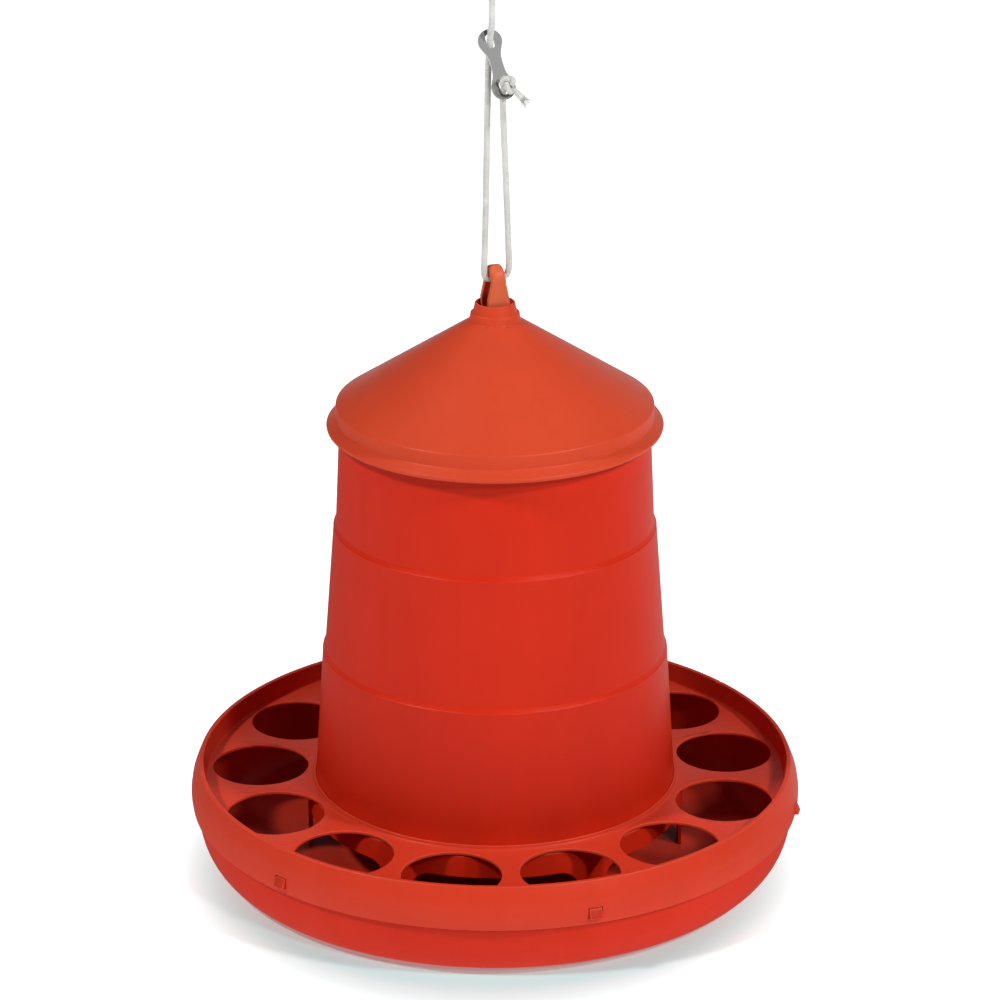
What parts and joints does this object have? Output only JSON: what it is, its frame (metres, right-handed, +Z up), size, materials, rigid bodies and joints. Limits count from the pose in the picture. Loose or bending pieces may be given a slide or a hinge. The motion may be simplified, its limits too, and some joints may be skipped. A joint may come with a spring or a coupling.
{
  "type": "poultry feeder",
  "caption": "Hanging poultry feeder: round pan with a clip-on guard ring of head holes, stepped tapered hopper, conical lid and a cord with a sliding tensioner.",
  "frame": {"origin": "centre of the pan's underside, on the floor that the pan stands on", "axes": "+Z up along the centre stem, -Y towards the front, +X to the right seen from the front"},
  "size_m": [0.3864, 0.3864, 0.6032],
  "materials": {
    "red_plastic": "satin moulded plastic, signal red with a soft broad sheen",
    "white_cord": "braided white cord",
    "steel": "stamped plate with a dull grey face and bright bevelled edges"
  },
  "bodies": {
    "root": {"pan": "red_plastic", "head_guard": "red_plastic", "hopper": "red_plastic", "lid": "red_plastic", "centre_stem": "red_plastic", "wing_nut": "red_plastic", "cord": "white_cord", "tensioner": "steel", "stopper_knot": "white_cord", "top_loop": "white_cord"}
  },
  "joints": []
}
